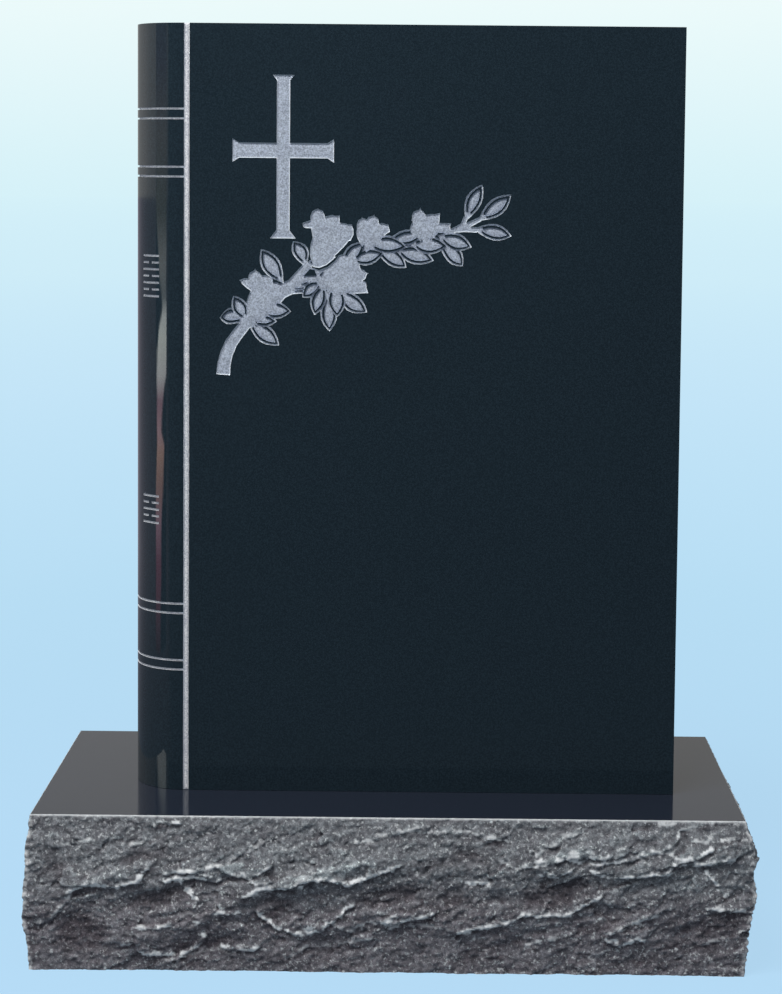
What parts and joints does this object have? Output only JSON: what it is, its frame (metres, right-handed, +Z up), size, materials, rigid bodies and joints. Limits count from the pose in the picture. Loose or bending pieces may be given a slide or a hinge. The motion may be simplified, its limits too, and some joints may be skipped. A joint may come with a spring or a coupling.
{
  "type": "book-shaped headstone",
  "caption": "Upright black granite tablet shaped like a closed book with a rounded spine, carved with a cross and a blossoming spray, standing on a rock-pitched base block.",
  "frame": {"origin": "on the ground, under the middle of the whole stone's bounding box", "axes": "+Z up, the carved face looks towards -Y, +X to the viewer's right as one faces the stone, so the spine is at -X"},
  "size_m": [0.799, 0.382, 1.0293],
  "materials": {
    "tablet": "mirror-polished black granite, its carving sandblasted and pale",
    "base": "black granite, split (rock-pitched) on its four sides and polished on top"
  },
  "bodies": {
    "root": {"tablet": "tablet", "base": "base"}
  },
  "joints": []
}
